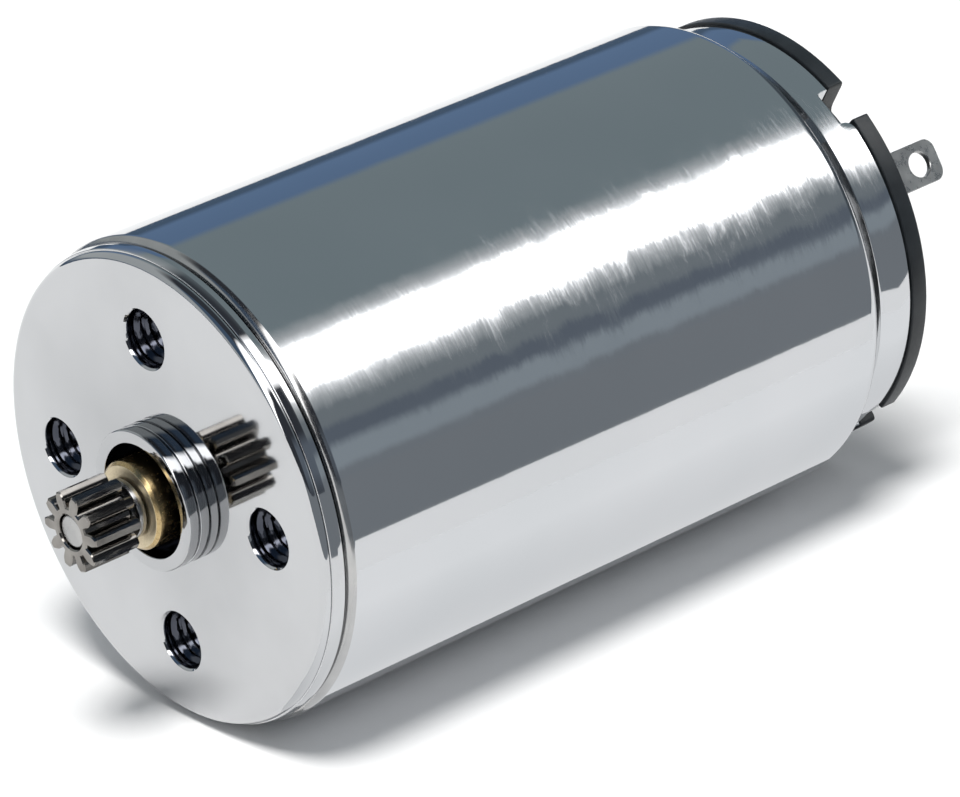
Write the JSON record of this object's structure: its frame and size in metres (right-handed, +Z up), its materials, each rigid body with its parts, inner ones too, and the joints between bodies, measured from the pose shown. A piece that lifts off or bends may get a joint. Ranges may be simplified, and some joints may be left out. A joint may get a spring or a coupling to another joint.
{
  "type": "electric motor",
  "caption": "Small cylindrical coreless DC motor with a polished steel can, a flat front face with tapped holes and a pilot boss, a spur pinion on its shaft and solder lugs at the rear.",
  "frame": {"origin": "on the shaft axis, in the plane of the front mounting face, in the middle of the pilot boss", "axes": "-Y points out of the output end, along the shaft; +Y points to the terminals; +Z is up with the motor lying on its side; the tapped holes stand on the X and Z axes"},
  "size_m": [0.022, 0.045, 0.022],
  "materials": {
    "plated_steel": "polished nickel plate with fine turning lines",
    "steel": "ground",
    "pinion_steel": "hobbed, bright",
    "sintered_bronze": "sized sintered bronze, polished",
    "magnet_alloy": "ground",
    "coil_copper": "enamelled wire",
    "contact_alloy": "polished precious-metal alloy",
    "black_plastic": "moulded, satin",
    "winding_resin": "cured resin",
    "tin_plate": "dull tin plate on a stamped strip"
  },
  "bodies": {
    "housing": {"housing_tube": "plated_steel", "front_flange": "plated_steel", "front_bush": "sintered_bronze", "rear_bush": "sintered_bronze", "magnet_sleeve": "steel", "magnet": "magnet_alloy", "magnet_retainer": "steel", "rear_ring": "plated_steel", "end_cap": "black_plastic", "terminal_1": "tin_plate", "terminal_2": "tin_plate", "brush_1": "contact_alloy", "brush_2": "contact_alloy"},
    "rotor": {"shaft": "steel", "pinion": "pinion_steel", "front_shim": "steel", "rear_shim": "steel", "coil": "coil_copper", "coil_ring": "winding_resin", "winding_hub": "black_plastic", "commutator_core": "black_plastic", "commutator_segment_1": "contact_alloy", "commutator_segment_2": "contact_alloy", "commutator_segment_3": "contact_alloy", "commutator_segment_4": "contact_alloy", "commutator_segment_5": "contact_alloy", "commutator_segment_6": "contact_alloy", "commutator_segment_7": "contact_alloy", "commutator_segment_8": "contact_alloy", "commutator_segment_9": "contact_alloy", "coil_tap_1": "coil_copper", "coil_tap_2": "coil_copper", "coil_tap_3": "coil_copper", "coil_tap_4": "coil_copper", "coil_tap_5": "coil_copper", "coil_tap_6": "coil_copper", "coil_tap_7": "coil_copper", "coil_tap_8": "coil_copper", "coil_tap_9": "coil_copper"}
  },
  "joints": [
    {"name": "rotor_spin", "type": "hinge", "parent": "housing", "child": "rotor", "pos_m": [0, 0, 0], "axis": [0, -1, 0], "continuous": true}
  ]
}
